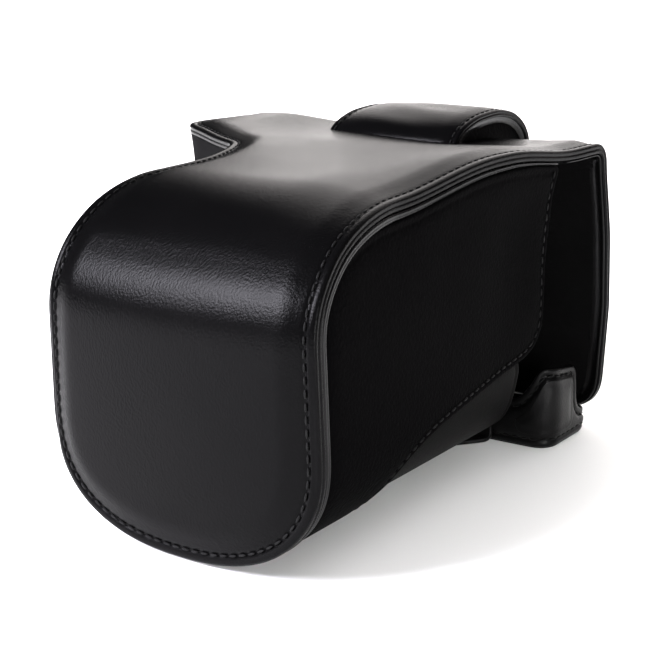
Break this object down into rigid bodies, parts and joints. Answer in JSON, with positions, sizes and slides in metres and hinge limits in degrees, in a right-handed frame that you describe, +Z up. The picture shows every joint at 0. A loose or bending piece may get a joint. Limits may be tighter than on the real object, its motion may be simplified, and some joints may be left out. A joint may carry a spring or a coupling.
{
  "type": "ever-ready camera case",
  "caption": "Black leather ever-ready case for a small camera with a zoom lens: lens nose, viewfinder hump, hinged cover and back flap on a half-case with captive screw.",
  "frame": {"origin": "on the floor under the middle of the bounding box", "axes": "+Z up, the lens nose points to -Y, X along the camera body, +X at the viewer's right from the front"},
  "size_m": [0.137, 0.1764, 0.0975],
  "materials": {
    "leather_outer": "satin black, fine pebble",
    "leather_gusset": "satin black, wrinkled grain",
    "velvet": "short black pile",
    "board": "matte stiffener",
    "magnet": "nickel plated",
    "steel": "brushed",
    "stud_black": "satin black"
  },
  "bodies": {
    "half_case": {"half_case_shell": "leather_outer", "half_case_lining": "velvet", "base_board": "board", "screw_plate": "steel", "ear_patch_right": "leather_outer", "ear_patch_left": "leather_outer", "hinge_strap_rear": "leather_outer", "strap_stud_right": "stud_black", "strap_stud_left": "stud_black", "case_magnet_right": "magnet", "case_magnet_left": "magnet"},
    "cover": {"front_top_panel": "leather_outer", "front_top_lining": "velvet", "flange_right": "leather_gusset", "flange_left": "leather_gusset", "gusset_right": "leather_gusset", "gusset_left": "leather_gusset", "bottom_panel": "leather_gusset", "gusset_lining_right": "velvet", "bottom_lining": "velvet", "hinge_strap_front": "leather_outer"},
    "back_flap": {"back_flap_outer": "leather_outer", "flap_board": "board", "flap_lining": "velvet", "flap_rim": "leather_outer", "flap_magnet_right": "magnet", "flap_magnet_left": "magnet", "hump_cover": "leather_outer", "hump_lining": "velvet", "hump_cap_right": "leather_outer", "hump_cap_left": "leather_outer", "hump_welt_right": "leather_outer", "hump_welt_left": "leather_outer"},
    "screw_carrier": {"screw_clip": "steel"},
    "screw": {"camera_screw": "steel"}
  },
  "joints": [
    {"name": "cover_tilt", "type": "hinge", "parent": "half_case", "child": "cover", "pos_m": [0.025, 0.027, 0.0009], "axis": [1, 0, 0], "range_deg": [0, 100]},
    {"name": "flap_open", "type": "hinge", "parent": "cover", "child": "back_flap", "pos_m": [0, 0.036, 0.0925], "axis": [1, 0, 0], "range_deg": [0, 130]},
    {"name": "screw_float", "type": "slide", "parent": "half_case", "child": "screw_carrier", "axis": [0, 0, 1], "range_m": [0, 0.001]},
    {"name": "screw_spin", "type": "hinge", "parent": "screw_carrier", "child": "screw", "pos_m": [0.025, 0.0444, 0.005], "axis": [0, 0, 1], "continuous": true}
  ]
}
